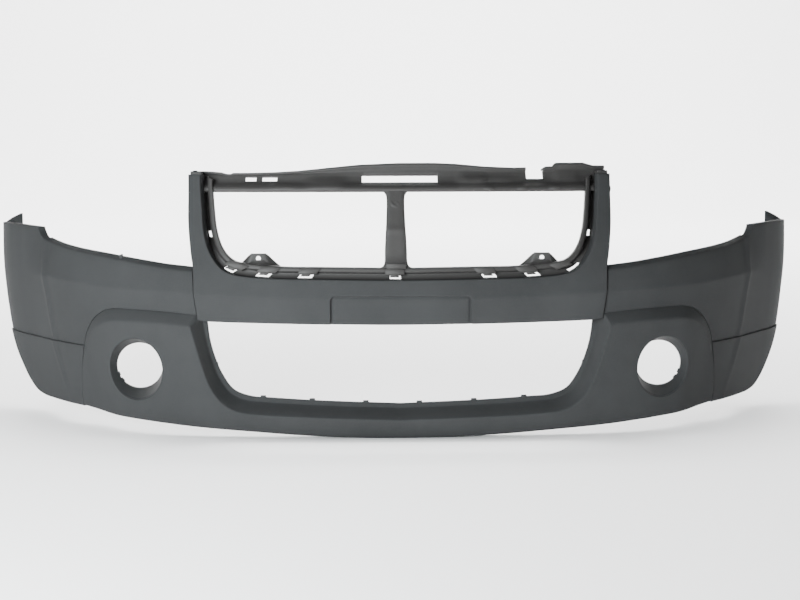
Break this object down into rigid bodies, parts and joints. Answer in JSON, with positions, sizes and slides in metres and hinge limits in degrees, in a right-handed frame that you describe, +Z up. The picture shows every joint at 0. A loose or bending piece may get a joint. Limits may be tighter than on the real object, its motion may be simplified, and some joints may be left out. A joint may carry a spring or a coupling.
{
  "type": "bumper cover",
  "caption": "Front bumper cover with a recessed upper grille surround, fog-lamp pods, central lower intake, wheel-arch flares and pull-pin push rivets.",
  "frame": {"origin": "middle of the bounding box, at its lowest point", "axes": "+X across the car to the right as seen from the front, +Y rearwards, +Z up"},
  "size_m": [1.7992, 0.5366, 0.541],
  "materials": {
    "cover_grey": "fine-grained moulded plastic, matte",
    "sleeve_grey": "fine-grained moulded plastic, matte",
    "carrier_grey": "smooth moulded plastic, satin",
    "rivet_black": "moulded nylon, satin"
  },
  "bodies": {
    "cover": {"centre_panel": "cover_grey", "right_corner_cover": "cover_grey", "left_corner_cover": "cover_grey", "right_lower_corner": "cover_grey", "left_lower_corner": "cover_grey", "lower_valance": "cover_grey", "right_fog_sleeve": "sleeve_grey", "left_fog_sleeve": "sleeve_grey", "grille_carrier": "carrier_grey", "centre_post": "carrier_grey", "right_bracket_ear": "carrier_grey", "left_bracket_ear": "carrier_grey", "header_bar": "carrier_grey", "rivet_sleeves": "rivet_black"},
    "left_header_pin": {"left_header_pin": "rivet_black"},
    "right_header_pin": {"right_header_pin": "rivet_black"},
    "left_seam_pin": {"left_seam_pin": "rivet_black"},
    "right_seam_pin": {"right_seam_pin": "rivet_black"},
    "left_pod_pin": {"left_pod_pin": "rivet_black"},
    "right_pod_pin": {"right_pod_pin": "rivet_black"},
    "left_corner_pin": {"left_corner_pin": "rivet_black"},
    "right_corner_pin": {"right_corner_pin": "rivet_black"},
    "left_step_pin": {"left_step_pin": "rivet_black"},
    "right_step_pin": {"right_step_pin": "rivet_black"}
  },
  "joints": [
    {"name": "left_header_pin_slide", "type": "slide", "parent": "cover", "child": "left_header_pin", "axis": [0, 0, 1], "range_m": [0, 0.007]},
    {"name": "right_header_pin_slide", "type": "slide", "parent": "cover", "child": "right_header_pin", "axis": [0, 0, 1], "range_m": [0, 0.007]},
    {"name": "left_seam_pin_slide", "type": "slide", "parent": "cover", "child": "left_seam_pin", "axis": [-1, 0, 0], "range_m": [0, 0.007]},
    {"name": "right_seam_pin_slide", "type": "slide", "parent": "cover", "child": "right_seam_pin", "axis": [1, 0, 0], "range_m": [0, 0.007]},
    {"name": "left_pod_pin_slide", "type": "slide", "parent": "cover", "child": "left_pod_pin", "axis": [0, 0, 1], "range_m": [0, 0.007]},
    {"name": "right_pod_pin_slide", "type": "slide", "parent": "cover", "child": "right_pod_pin", "axis": [0, 0, 1], "range_m": [0, 0.007]},
    {"name": "left_corner_pin_slide", "type": "slide", "parent": "cover", "child": "left_corner_pin", "axis": [-1, 0, 0], "range_m": [0, 0.007]},
    {"name": "right_corner_pin_slide", "type": "slide", "parent": "cover", "child": "right_corner_pin", "axis": [1, 0, 0], "range_m": [0, 0.007]},
    {"name": "left_step_pin_slide", "type": "slide", "parent": "cover", "child": "left_step_pin", "axis": [0, 0, 1], "range_m": [0, 0.007]},
    {"name": "right_step_pin_slide", "type": "slide", "parent": "cover", "child": "right_step_pin", "axis": [0, 0, 1], "range_m": [0, 0.007]}
  ]
}
